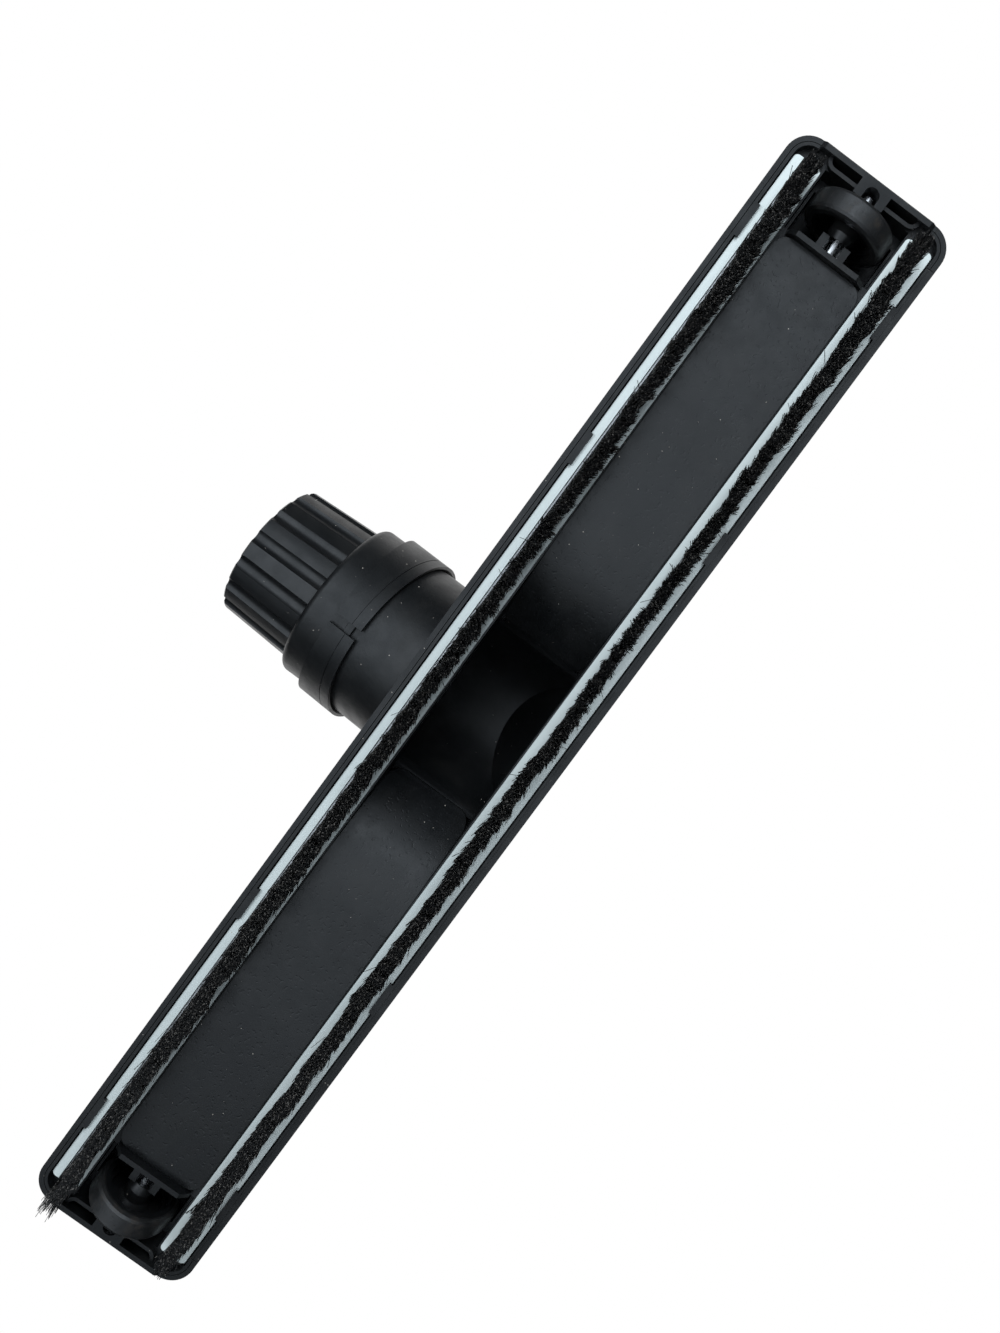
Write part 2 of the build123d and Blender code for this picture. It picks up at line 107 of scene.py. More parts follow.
# %% Add a node and join two sockets
def add_node(tree, kind, **settings):
    """New node with the settings given; a name with a capital letter is an input socket."""
    node = tree.nodes.new(kind)
    for key, value in settings.items():
        if key[0].isupper():
            node.inputs[key.replace("_", " ")].default_value = value
        else:
            setattr(node, key, value)
    return node


def join(tree, source, target):
    """Link an output socket to an input socket."""
    tree.links.new(source, target)


def set_or_join(tree, value, socket):
    """Give a socket a plain value, or link another socket to it."""
    if isinstance(value, bpy.types.NodeSocket):
        join(tree, value, socket)
    else:
        socket.default_value = value


# %% Map, sample, calculate and mix
def spread(tree, value, low, high, new_low, new_high):
    """Map a value from one range onto another, with soft ends."""
    node = add_node(tree, "ShaderNodeMapRange", interpolation_type="SMOOTHSTEP",
                    From_Min=low, From_Max=high, To_Min=new_low, To_Max=new_high)
    join(tree, value, node.inputs["Value"])
    return node.outputs["Result"]


def noise(tree, place, scale, detail=2.0, roughness=0.5):
    """Noise value over a place in metres; scale counts the lumps along one metre."""
    node = add_node(tree, "ShaderNodeTexNoise", Detail=detail, Roughness=roughness)
    join(tree, place, node.inputs["Vector"])
    set_or_join(tree, scale, node.inputs["Scale"])
    return node.outputs["Fac"]


def combine(tree, operation, first, second=0.0):
    """Arithmetic on two values; each one is a socket or a plain number."""
    node = add_node(tree, "ShaderNodeMath", operation=operation)
    set_or_join(tree, first, node.inputs[0])
    set_or_join(tree, second, node.inputs[1])
    return node.outputs[0]


def blend_colour(tree, share, first, second):
    """Mix of two colours by a share; each colour is a socket or a plain RGBA value."""
    node = add_node(tree, "ShaderNodeMix", data_type="RGBA")
    share_socket, first_socket, second_socket = node.inputs[0], node.inputs[6], node.inputs[7]
    join(tree, share, share_socket)
    set_or_join(tree, first, first_socket)
    set_or_join(tree, second, second_socket)
    return node.outputs[2]


print("helpers ready")

# %% [markdown]
# ## Shared effects
#
# Moulded plastic is never quite smooth: the mould leaves a fine grain with a few pits. A used floor
# tool also carries pale dust: single specks and lint, and a faint film in patches. Both effects are
# node groups, because each plastic takes them with values of its own.

# %% Start and close of a node group
def new_group(name, inputs, outputs):
    """Empty shader group whose sockets are all values, apart from a place."""
    group = bpy.data.node_groups.new(name, "ShaderNodeTree")
    group.interface.new_socket("Place", in_out="INPUT", socket_type="NodeSocketVector")
    for socket, default in inputs.items():
        made = group.interface.new_socket(socket, in_out="INPUT", socket_type="NodeSocketFloat")
        made.default_value = default
    for socket in outputs:
        group.interface.new_socket(socket, in_out="OUTPUT", socket_type="NodeSocketFloat")
    return group, group.nodes.new("NodeGroupInput"), group.nodes.new("NodeGroupOutput")


# %% Grain with pits
wave_share = 0.12
pit_share = 0.3
pit_edges = (0.68, 0.76)


def make_grain_group():
    """Height of a moulded surface: fine grain, long waves and a few pits."""
    group, source, sink = new_group("Moulded grain", {"Scale": 4000.0, "Pits": 0.3}, ["Height"])
    place, scale, pits = source.outputs[:3]
    fine = noise(group, place, scale)
    waves = noise(group, place, combine(group, "MULTIPLY", scale, wave_share), detail=1.0)
    pocks = noise(group, place, combine(group, "MULTIPLY", scale, pit_share), detail=0.0)
    depth = combine(group, "MULTIPLY", spread(group, pocks, *pit_edges, 0.0, 1.0), pits)
    ground = combine(group, "ADD", fine, waves)
    join(group, combine(group, "SUBTRACT", ground, depth), sink.inputs["Height"])
    return group


grain_group = make_grain_group()


# %% Dust: specks and film
speck_sizes = (0.03, 0.16)
film_lumps = 55.0
film_edges = (0.42, 0.72)


def make_dust_group():
    """Masks of pale specks and of a thin patchy film."""
    defaults = {"Speck scale": 900.0, "Speck share": 0.1, "Film share": 0.2}
    group, source, sink = new_group("Floor dust", defaults, ["Specks", "Film"])
    place, speck_scale, speck_share, film_share = source.outputs[:4]
    cells = add_node(group, "ShaderNodeTexVoronoi", feature="F1")
    join(group, place, cells.inputs["Vector"])
    join(group, speck_scale, cells.inputs["Scale"])
    chosen = add_node(group, "ShaderNodeSeparateColor")
    join(group, cells.outputs["Color"], chosen.inputs["Color"])
    present = combine(group, "LESS_THAN", chosen.outputs[0], speck_share)
    size = spread(group, chosen.outputs[1], 0.0, 1.0, *speck_sizes)
    inside = combine(group, "LESS_THAN", cells.outputs["Distance"], size)
    join(group, combine(group, "MULTIPLY", present, inside), sink.inputs["Specks"])
    cloud = noise(group, place, film_lumps, detail=4.0, roughness=0.62)
    patch = spread(group, cloud, *film_edges, 0.0, 1.0)
    join(group, combine(group, "MULTIPLY", patch, film_share), sink.inputs["Film"])
    return group


dust_group = make_dust_group()
print("shared effects:", [group.name for group in (grain_group, dust_group)])

# %% [markdown]
# ## Plastics
#
# One recipe serves all the mouldings. Two close tones mix over slow noise, the dust film and the
# specks lie on top, roughness wanders a little, and the grain feeds a bump. Black plastic keeps a
# very dark base: most of what the eye sees on it is the reflection of the room.

# %% Start of a material
finishes = {}


def start_material(name):
    """Shader, tree and place of the shaded point of a new material."""
    material = bpy.data.materials.new(name)
    material.use_nodes = True
    tree = material.node_tree
    place = tree.nodes.new("ShaderNodeTexCoord").outputs["Object"]
    finishes[name] = material
    return tree.nodes["Principled BSDF"], tree, place


def use_group(tree, group, place, **values):
    """Group node placed in a material with its own values."""
    node = add_node(tree, "ShaderNodeGroup", node_tree=group)
    join(tree, place, node.inputs["Place"])
    for key, value in values.items():
        node.inputs[key.replace("_", " ")].default_value = value
    return node


def add_bump(tree, shader, height, strength, distance):
    """Bump from a height value into the shader's normal."""
    bump = add_node(tree, "ShaderNodeBump", Strength=strength, Distance=distance)
    join(tree, height, bump.inputs["Height"])
    join(tree, bump.outputs["Normal"], shader.inputs["Normal"])


# %% The recipe for a moulded plastic
tone_lumps = 30.0
wear_lumps = 160.0
noise_middle = (0.3, 0.7)
tone_edges = (0.35, 0.7)
smoother, duller = -0.05, 0.07
film_dullness = 0.3
grain_strength = 0.5
grey_dust = (0.30, 0.29, 0.27, 1)


def moulded_plastic(name, tone, second_tone, roughness, grain_scale, grain_depth, pits=0.3,
                    dust_tone=grey_dust, specks=0.05, film=0.1):
    """Plastic with dust, uneven gloss and grain; grain_scale counts its lumps along one metre."""
    shader, tree, place = start_material(name)
    cloud = noise(tree, place, tone_lumps, detail=3.0, roughness=0.6)
    base = blend_colour(tree, spread(tree, cloud, *tone_edges, 0.0, 1.0), tone, second_tone)
    dust = use_group(tree, dust_group, place, Speck_share=specks, Film_share=film)
    filmed = blend_colour(tree, dust.outputs["Film"], base, dust_tone)
    dusty = blend_colour(tree, dust.outputs["Specks"], filmed, dust_tone)
    join(tree, dusty, shader.inputs["Base Color"])
    wear = noise(tree, place, wear_lumps, detail=4.0, roughness=0.65)
    gloss = spread(tree, wear, *noise_middle, roughness + smoother, roughness + duller)
    dulled = combine(tree, "MULTIPLY", dust.outputs["Film"], film_dullness)
    join(tree, combine(tree, "ADD", gloss, dulled), shader.inputs["Roughness"])
    grain = use_group(tree, grain_group, place, Scale=grain_scale, Pits=pits)
    add_bump(tree, shader, grain.outputs["Height"], grain_strength, grain_depth)


print("a recipe that uses:", grain_group.name, "and", dust_group.name)

# %% [markdown]
# ## The finishes of this head
#
# The shell is grained and satin, the sole plates are smoother, the strips are white, and the
# wheels wear a soft tread with a little brown dust. The pins and the folded channels are steel.
# The bristles are black nylon; a paler colour in small patches is a painted highlight that stands
# in for the glints of a few bristles.

# %% Steel
rub_lumps, rub_shade, rub_dullness = 900.0, 0.72, 0.15
drawing_marks = 5000.0


def bright_steel(name, tone, roughness):
    """Drawn steel with faint rubbed marks."""
    shader, tree, place = start_material(name)
    shader.inputs["Metallic"].default_value = 1.0
    cloud = noise(tree, place, rub_lumps, detail=3.0)
    rubbed = tuple(rub_shade * part for part in tone[:3]) + (1,)
    base = blend_colour(tree, spread(tree, cloud, *noise_middle, 0.0, 1.0), rubbed, tone)
    join(tree, base, shader.inputs["Base Color"])
    gloss = spread(tree, cloud, *noise_middle, roughness, roughness + rub_dullness)
    join(tree, gloss, shader.inputs["Roughness"])
    marks = noise(tree, place, drawing_marks)
    add_bump(tree, shader, marks, strength=0.2, distance=0.00002)


# %% Tread and bristle nylon
clean_tread, dusty_patch = (0.006, 0.0065, 0.007, 1), (0.050, 0.040, 0.031, 1)
dust_lumps, dust_edges, dust_most = 260.0, (0.52, 0.76), 0.35
# The paler second bristle colour is a painted highlight: it stands in for glints, not for a colour
# that the nylon has.
plain_nylon, painted_glint_nylon = (0.002, 0.002, 0.0022, 1), (0.17, 0.17, 0.165, 1)
glint_lumps, glint_edges = 1500.0, (0.56, 0.66)


def dusty_tread(name):
    """Soft black tread with a little brown dust rubbed into it."""
    shader, tree, place = start_material(name)
    cloud = noise(tree, place, dust_lumps, detail=5.0, roughness=0.7)
    dust = spread(tree, cloud, *dust_edges, 0.0, dust_most)
    base = blend_colour(tree, dust, clean_tread, dusty_patch)
    join(tree, base, shader.inputs["Base Color"])
    join(tree, spread(tree, cloud, *noise_middle, 0.36, 0.58), shader.inputs["Roughness"])
    shader.inputs["Specular IOR Level"].default_value = 1.0
    grain = use_group(tree, grain_group, place, Scale=2600.0, Pits=0.6)
    add_bump(tree, shader, grain.outputs["Height"], strength=0.6, distance=0.00008)


def bristle_nylon(name):
    """Black nylon; paler patches here and there are painted glints, a painted highlight in the
    colour.
    """
    shader, tree, place = start_material(name)
    cloud = noise(tree, place, glint_lumps, detail=2.0, roughness=0.7)
    glint = spread(tree, cloud, *glint_edges, 0.0, 1.0)
    base = blend_colour(tree, glint, plain_nylon, painted_glint_nylon)
    join(tree, base, shader.inputs["Base Color"])
    join(tree, spread(tree, cloud, *noise_middle, 0.30, 0.45), shader.inputs["Roughness"])


# %% One material per slot of the record
black = (0.0032, 0.0038, 0.0044, 1)
soft_black = (0.0052, 0.0060, 0.0068, 1)
cool_white = (0.53, 0.62, 0.65, 1)
soft_white = (0.50, 0.59, 0.62, 1)
brown_dust = (0.30, 0.27, 0.22, 1)
pale_steel = (0.86, 0.87, 0.88, 1)

moulded_plastic("black_shell", black, soft_black, 0.40, 5200.0, 0.00006, specks=0.08, film=0.012)
moulded_plastic("black_frame", black, soft_black, 0.44, 4200.0, 0.00005, film=0.012)
moulded_plastic("black_sole", black, soft_black, 0.32, 3000.0, 0.00004, pits=1.4, film=0.008)
moulded_plastic("black_grip", black, soft_black, 0.36, 5200.0, 0.00004, film=0.008)
moulded_plastic("black_wheel", black, soft_black, 0.32, 5200.0, 0.00003, specks=0.08, film=0.02)
moulded_plastic("seal_rubber", black, soft_black, 0.60, 3000.0, 0.00004)
moulded_plastic("white_plastic", cool_white, soft_white, 0.36, 2600.0, 0.00002,
                dust_tone=brown_dust, specks=0.015, film=0.04)
bright_steel("steel", pale_steel, 0.20)
dusty_tread("tread")
bristle_nylon("bristle")
print("finishes:", len(finishes))


# %% Give each rigid piece its finish
def dress_frame():
    """Put the finish of its slot on every node of the frame."""
    for entry in frame["record"]["subparts"]:
        for slot in frame["nodes"][entry["node"]].material_slots:
            slot.material = finishes[entry["material_slot"]]


dress_frame()
print("dressed nodes:", len(frame["nodes"]))

# %% [markdown]
# ## From a bmesh to a piece
#
# Every new piece is modelled in a bmesh at its real place, so its object can stay at the origin.
# Small helpers turn a bmesh into a mesh and a mesh into an object, pick the points out of what an
# extrusion returns, and count triangles.

# %% Helpers for new pieces
def mesh_from(name, shape):
    """Mesh that takes over the geometry of a bmesh."""
    mesh = bpy.data.meshes.new(name)
    shape.to_mesh(mesh)
    shape.free()
    return mesh


def put_in_scene(name, mesh):
    """Object at the origin that shows a mesh."""
    piece = bpy.data.objects.new(name, mesh)
    bpy.context.scene.collection.objects.link(piece)
    return piece


def points_among(geometry):
    """Points of a mixed list of points, edges and faces."""
    return [item for item in geometry if isinstance(item, bmesh.types.BMVert)]


def everything(shape):
    """All points, edges and faces of a bmesh."""
    return shape.verts[:] + shape.edges[:] + shape.faces[:]


def triangle_count(mesh):
    """Triangles that the faces of a mesh come to."""
    return sum(len(face.vertices) - 2 for face in mesh.polygons)


print("helpers for new pieces ready")

# %% [markdown]
# ## Sole plates that rise into the throat
#
# Each side of the throat the sole is one smooth sheet. It lies flat from the wheel to about 71 mm
# from the middle, then bends up in a wide arc and ends inside the duct, with rounded corners. The
# frame holds it flat, so both plates are made again here. A Simple Deform modifier could bend the
# flat plate, but its few large triangles would give a faceted arc. So an outline with rounded
# corners is cut into slices across its bend, the slices are lifted onto the arc, and the sheet gets
# its thickness.

# %% The arc of the sole
bend_start = 0.071
bend_radius = 0.060
bend_end = 0.0285
bend_slices = 36


def sole_rise(distance):
    """How far the sheet has risen at a distance from the middle of the head."""
    inward = max(0.0, bend_start - distance)
    return bend_radius - (bend_radius ** 2 - inward ** 2) ** 0.5


print("the sole has risen at its end by", round(sole_rise(bend_end) * 1000, 1), "mm")

# %% Outline and bend of one sole plate
sole_half_width = 0.01545
sole_thickness = 0.0016
corner_radius = 0.005
corner_segments = 8


def sole_outline(shape, start, end, height):
    """Flat face with four rounded corners between two distances from the middle."""
    bmesh.ops.create_grid(shape, x_segments=1, y_segments=1, size=0.5)
    bmesh.ops.scale(shape, vec=(end - start, 2 * sole_half_width, 1), verts=shape.verts)
    bmesh.ops.translate(shape, vec=((start + end) / 2, 0, height), verts=shape.verts)
    bmesh.ops.bevel(shape, geom=shape.verts[:], offset=corner_radius, segments=corner_segments,
                    profile=0.5, affect="VERTICES", material=-1)


def bend_sheet(shape):
    """Slice a flat face across its bend, lift the slices, and make the sheet solid."""
    for step in range(bend_slices):
        cut = bend_end + (bend_start - bend_end) * (step + 0.5) / bend_slices
        bmesh.ops.bisect_plane(shape, geom=everything(shape), plane_co=(cut, 0, 0),
                               plane_no=(1, 0, 0))
    for point in shape.verts:
        point.co.z += sole_rise(point.co.x)
    sheet = bmesh.ops.extrude_face_region(shape, geom=shape.faces[:])["geom"]
    bmesh.ops.translate(shape, vec=(0, 0, sole_thickness), verts=points_among(sheet))


# %% One sole plate with its softened rim
rim_bevel = 0.0002
rim_segments = 2
rim_turn = 1.0
rim_tolerance = 0.0001
sole_sharp_angle = 0.3


def soften_rim(shape, height):
    """Small bevel along the lower rim of a sheet whose flat part lies at a height."""
    rim = [edge for edge in shape.edges if edge.calc_face_angle(0) > rim_turn and
           all(point.co.z < height + sole_rise(abs(point.co.x)) + rim_tolerance
               for point in edge.verts)]
    bmesh.ops.bevel(shape, geom=rim, offset=rim_bevel, segments=rim_segments, profile=0.5,
                    affect="EDGES", material=-1)


def add_sole(name, node, side):
    """Bent sole plate that stands for the flat one of the frame."""
    low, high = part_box(node)
    shape = bmesh.new()
    sole_outline(shape, bend_end, max(abs(low[0]), abs(high[0])), low[2])
    bend_sheet(shape)
    bmesh.ops.scale(shape, vec=(side, 1, 1), verts=shape.verts)
    bmesh.ops.recalc_face_normals(shape, faces=shape.faces)
    soften_rim(shape, low[2])
    for face in shape.faces:
        face.smooth = True
    mesh = mesh_from(name, shape)
    mesh.set_sharp_from_angle(angle=sole_sharp_angle)
    piece = put_in_scene(name, mesh)
    mesh.materials.append(finishes["black_sole"])
    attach(piece, "head")
    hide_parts(node)
    return piece


for name, node, side in (("left_sole", "left_deck_plate", 1),
                         ("right_sole", "right_deck_plate", -1)):
    sole = add_sole(name, node, side)
    print(sole.name, "faces:", len(sole.data.polygons))

# %% [markdown]
# ## Room for the bend
#
# The flat chassis and the walls of the duct would stand in the way of the bent ends of the soles.
# A mesh of the frame must not change, so copies take the place of these two. A wedge that follows
# the arc is cut from both copies on each side with a Boolean modifier, and thin cheeks close the
# gap beside the sheet. The cut leaves the rest of each copy as it was, so that rest keeps the
# shading of the frame too.

# %% A wedge under the arc
wedge_bottom = 0.0080
wedge_start = 0.0232
wedge_slope = 0.6
cut_clearance = 0.0001
sole_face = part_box("left_deck_plate")[0][2]


def wedge_top(distance):
    """Height of the wedge: the top of the sheet, and a plain slope past its end."""
    sheet_top = sole_face + sole_thickness + cut_clearance + sole_rise(max(distance, bend_end))
    return sheet_top + wedge_slope * max(0.0, bend_end - distance)


def wedge(shape, side, y_range, start, bottom):
    """Block under the arc of one sole, from a bottom height to the top of the sheet."""
    steps = [start + (bend_start - start) * step / bend_slices for step in range(bend_slices + 1)]
    outline = [(x, wedge_top(x)) for x in steps] + [(steps[-1], bottom), (steps[0], bottom)]
    points = [shape.verts.new((side * x, y_range[0], z)) for x, z in outline]
    run = bmesh.ops.extrude_face_region(shape, geom=[shape.faces.new(points)])["geom"]
    bmesh.ops.translate(shape, vec=(0, y_range[1] - y_range[0], 0), verts=points_among(run))
    bmesh.ops.recalc_face_normals(shape, faces=shape.faces)


def add_cutter():
    """Both wedges in one object."""
    shape = bmesh.new()
    for side in (1, -1):
        wedge(shape, side, (-sole_half_width, sole_half_width), wedge_start, wedge_bottom)
    return put_in_scene("wedges", mesh_from("wedges", shape))


cutter = add_cutter()
print("wedge faces:", len(cutter.data.polygons))

# %% A joined copy of a frame mesh, and its corner normals
joined_within = 0.000001
same_place = 0.00001
same_face = 0.98


def merged_copy(node):
    """Mesh of a frame node with its loose triangles joined."""
    source = frame["nodes"][node]
    shape = bmesh.new()
    shape.from_mesh(source.data)
    bmesh.ops.transform(shape, matrix=source.matrix_world, verts=shape.verts)
    bmesh.ops.remove_doubles(shape, verts=shape.verts, dist=joined_within)
    return mesh_from(node, shape)


def frame_corners(node):
    """Place, face normal and corner normal of every face corner of a frame node."""
    source = frame["nodes"][node]
    data, turn = source.data, source.matrix_world.to_3x3()
    for face in data.polygons:
        for corner in face.loop_indices:
            place = source.matrix_world @ data.vertices[data.loops[corner].vertex_index].co
            yield place, turn @ face.normal, turn @ data.corner_normals[corner].vector


def keep_normals(mesh, node):
    """Give a carved mesh the corner normals that the frame node has at the same places."""
    corners = list(frame_corners(node))
    tree = KDTree(len(corners))
    for index, corner in enumerate(corners):
        tree.insert(corner[0], index)
    tree.balance()
    kept = [Vector((0, 0, 0))] * len(mesh.loops)
    for face in mesh.polygons:
        for corner in face.loop_indices:
            place = mesh.vertices[mesh.loops[corner].vertex_index].co
            near = [corners[found[1]] for found in tree.find_range(place, same_place)]
            best = max(near, key=lambda found: found[1].dot(face.normal), default=None)
            if best and best[1].dot(face.normal) > same_face:
                kept[corner] = best[2]
    mesh.normals_split_custom_set(kept)


# %% Copies of the chassis and the housing with the wedges cut away
carved_sharp_angle = 0.5


def carve(name, node, cutter, slot):
    """Copy of a frame node with the wedges cut away, which stands for the node."""
    piece = put_in_scene(name, merged_copy(node))
    cut = piece.modifiers.new("room", "BOOLEAN")
    cut.operation = "DIFFERENCE"
    cut.solver = "EXACT"
    cut.object = cutter
    bpy.context.view_layer.update()
    evaluated = piece.evaluated_get(bpy.context.evaluated_depsgraph_get())
    carved = bpy.data.meshes.new_from_object(evaluated)
    piece.modifiers.clear()
    piece.data = carved
    carved.materials.clear()
    carved.materials.append(finishes[slot])
    carved.shade_smooth()
    carved.set_sharp_from_angle(angle=carved_sharp_angle)
    keep_normals(carved, node)
    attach(piece, "head")
    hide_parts(node)
    print(name, "triangles:", triangle_count(carved))


carve("carved_chassis", "base_chassis", cutter, "black_frame")
carve("carved_housing", "upper_housing", cutter, "black_shell")
bpy.data.objects.remove(cutter)


# %% Cheeks beside the bent sheets
cheek_thickness = 0.0011
cheek_bottom = 0.0135


def add_cheeks():
    """Four thin walls between the sheets and the strip troughs."""
    shape = bmesh.new()
    outer = sole_half_width + cheek_thickness
    for side in (1, -1):
        for y_range in ((sole_half_width, outer), (-outer, -sole_half_width)):
            wedge(shape, side, y_range, bend_end, cheek_bottom)
    piece = put_in_scene("sole_cheeks", mesh_from("sole_cheeks", shape))
    piece.data.materials.append(finishes["black_frame"])
    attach(piece, "head")
    return piece


print("cheek faces:", len(add_cheeks().data.polygons))

# %% [markdown]
# ## Bristles
#
# Each strip holds one dense row. A hair system could grow it, but its hairs would still have to be
# turned into a mesh. So one bristle is modelled as a thin three-sided rod, and copies of its points
# are laid from a root in the channel to a tip at the floor. On a used tool the rows are uneven:
# each tuft leans its own way, its tips differ in height, and the rows get wider towards one end.
# The rear row leans towards the front, and the front row stands almost upright. Near the ends the
# bristles splay outward, most of all at one rear corner, and a few strays stand off the row. Each
# row is cut into two meshes, so that none gets too heavy.

# %% One bristle
bristle_radius = 0.000130
bristle_taper = 0.15
bristle_steps = 2


def bristle_template():
    """One upright bristle of height 1 and radius 1, as a mesh built by operators."""
    shape = bmesh.new()
    bmesh.ops.create_circle(shape, segments=3, radius=1.0)
    rim = list(shape.edges)
    for step in range(bristle_steps):
        grown = bmesh.ops.extrude_edge_only(shape, edges=rim)["geom"]
        bmesh.ops.translate(shape, vec=(0, 0, 1 / bristle_steps), verts=points_among(grown))
        rim = [item for item in grown if isinstance(item, bmesh.types.BMEdge)]
    bmesh.ops.contextual_create(shape, geom=rim)
    bmesh.ops.recalc_face_normals(shape, faces=shape.faces)
    return mesh_from("bristle_template", shape)


template = bristle_template()
print("faces of one bristle:", len(template.polygons))


# %% Many copies of one bristle in one mesh
def repeated(name, places):
    """One mesh that holds the bristle's faces once for each row of point places."""
    count, points = len(places), len(template.vertices)
    corners = np.array([corner.vertex_index for corner in template.loops])
    starts = np.array([face.loop_start for face in template.polygons])
    every_corner = np.arange(count)[:, None] * points + corners
    every_start = np.arange(count)[:, None] * len(corners) + starts
    mesh = bpy.data.meshes.new(name)
    mesh.vertices.add(count * points)
    mesh.vertices.foreach_set("co", places.ravel())
    mesh.loops.add(every_corner.size)
    mesh.loops.foreach_set("vertex_index", every_corner.ravel())
    mesh.polygons.add(every_start.size)
    mesh.polygons.foreach_set("loop_start", every_start.ravel())
    mesh.update(calc_edges=True)
    mesh.validate()
    return put_in_scene(name, mesh)


def laid_bristles(roots, tips, bows, radii):
    """Places of all points of bristles that run from roots to tips, each with its own bow."""
    shape = np.array([point.co for point in template.vertices])
    along = shape[:, 2][None, :, None]
    line = roots[:, None, :] + (tips - roots)[:, None, :] * along
    line = line + bows[:, None, :] * (4 * along * (1 - along))
    section = np.stack([shape[:, 0], shape[:, 1], np.zeros(len(shape))], axis=1)[None]
    taper = 1.0 - bristle_taper * along
    return line + section * radii[:, None, None] * taper


# %% Roots of half a row
strip_centre = 0.0207
root_half_width = 0.00125
root_height = 0.0160
row_half_length = 0.1914
bristles_per_mesh = 15000


def root_places(along, across, side):
    """Roots inside the channel, for shares of its half width from -1 to 1."""
    heights = np.full(len(along), root_height)
    return np.stack([along, side * (strip_centre + across * root_half_width), heights], axis=1)


print("bristles in half a row:", bristles_per_mesh)


# %% Tips: one value for each tuft, and the width of the row
tuft_length = 0.0019
tuft_jitter = 0.2
tip_half_width = 0.00205
worn_start, worn_run, worn_gain = 0.11, 0.07, 0.22
tuft_width_spread, tuft_width_limits = 0.15, (-0.3, 0.4)


def tuft_values(along, size, chance):
    """One random value for each tuft of a row, shared by its bristles."""
    loose = np.abs(along) + chance.normal(0.0, tuft_jitter * tuft_length, len(along))
    tufts = np.clip(np.floor(loose / tuft_length), 0, None).astype(int)
    return chance.normal(0.0, size, tufts.max() + 1)[tufts]


def row_width(along, chance):
    """Half width of the row at its tips, wider on the worn end and uneven by tufts."""
    worn = worn_gain * np.clip((-along - worn_start) / worn_run, 0.0, 1.0)
    uneven = np.clip(tuft_values(along, tuft_width_spread, chance), *tuft_width_limits)
    return tip_half_width * (1.0 + worn + uneven)


def row_wave(along):
    """Slow sway of the row from side to side: one long wave and one short wave."""
    return np.sin(along * 95.0) * 0.00020 + np.sin(along * 233.0 + 1.0) * 0.00018


print("tufts in half a row:", round(row_half_length / tuft_length))


# %% Tips of half a row
splay_start, splay_run, least_splay = 0.181, 0.0104, 0.3
tuft_lean_along, loose_along = 0.00055, 0.0004
tuft_lean_across, loose_across = 0.00032, 0.00028
uneven_height, frayed_height = 0.0004, 0.003
stray_share, stray_across, stray_along = 0.008, 0.0014, 0.0020


def tip_places(along, across, side, half, lean, reach, chance):
    """Tips near the floor, with lean, tufts, splayed ends and strays."""
    count = len(along)
    width = row_width(along, chance)
    near_end = np.clip((np.abs(along) - splay_start) / splay_run, 0.0, 1.0) ** 2
    splay = near_end * chance.uniform(least_splay, 1.0, count) * reach * half
    x = along + tuft_values(along, tuft_lean_along, chance) + chance.normal(0.0, loose_along, count)
    y = side * (strip_centre - lean) + side * across * width + row_wave(along)
    y = y + tuft_values(along, tuft_lean_across, chance) + chance.normal(0.0, loose_across, count)
    z = np.abs(chance.normal(0.0, uneven_height, count))
    z = z + np.abs(tuft_values(along, uneven_height, chance))
    z = z + near_end * chance.uniform(0.0, frayed_height, count)
    tips = np.stack([x + splay, y, z], axis=1)
    strays = chance.uniform(0.0, 1.0, count) < stray_share
    tips[strays, 1] += chance.normal(0.0, stray_across, strays.sum())
    tips[strays, 0] += chance.normal(0.0, stray_along, strays.sum())
    return tips


# %% Plant both rows
rear_lean, front_lean = 0.0023, 0.0004
long_splay, short_splay = 0.0085, 0.0028
bow_size = 0.00025
thinnest, thickest = 0.75, 1.2
row_seed = 11


def row_of_bristles(name, side, lean, half, reach, chance):
    """Half of one row; side is +1 for the rear row and -1 for the front row."""
    count = bristles_per_mesh
    along = chance.uniform(0.0, 1.0, count) * row_half_length * half
    across = chance.uniform(-1.0, 1.0, count)
    roots = root_places(along, across, side)
    tips = tip_places(along, across, side, half, lean, reach, chance)
    bow_x, bow_y = chance.normal(0.0, bow_size, count), chance.normal(0.0, bow_size, count)
    bows = np.stack([bow_x, bow_y, np.zeros(count)], axis=1)
    radii = bristle_radius * chance.uniform(thinnest, thickest, count)
    piece = repeated(name, laid_bristles(roots, tips, bows, radii))
    piece.data.materials.append(finishes["bristle"])
    return piece


def plant_rows():
    """Both rows, each as a left and a right mesh that stand in for the frame's solids."""
    chance = np.random.default_rng(row_seed)
    for row, side, lean in (("rear", 1, rear_lean), ("front", -1, front_lean)):
        for end, half in (("left", 1), ("right", -1)):
            reach = long_splay if (row, end) == ("rear", "left") else short_splay
            piece = row_of_bristles(f"{row}_bristles_{end}", side, lean, half, reach, chance)
            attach(piece, "head")
            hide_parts(f"{row}_bristles")
            print(piece.name, "triangles:", triangle_count(piece.data))


plant_rows()

# %% [markdown]
# ## Floor, background and light
#
# The camera looks up from under the floor. So the floor is see-through from below, and it lets
# light from below pass, yet from above it is a plain pale floor that keeps the object's shadow.
# The world is white to the camera and to reflections, and gives a soft even light to everything
# else.

# %% Pale floor seen from above only
floor_size = 3.0
floor_height = -0.0003
floor_tone = (0.80, 0.80, 0.79, 1)


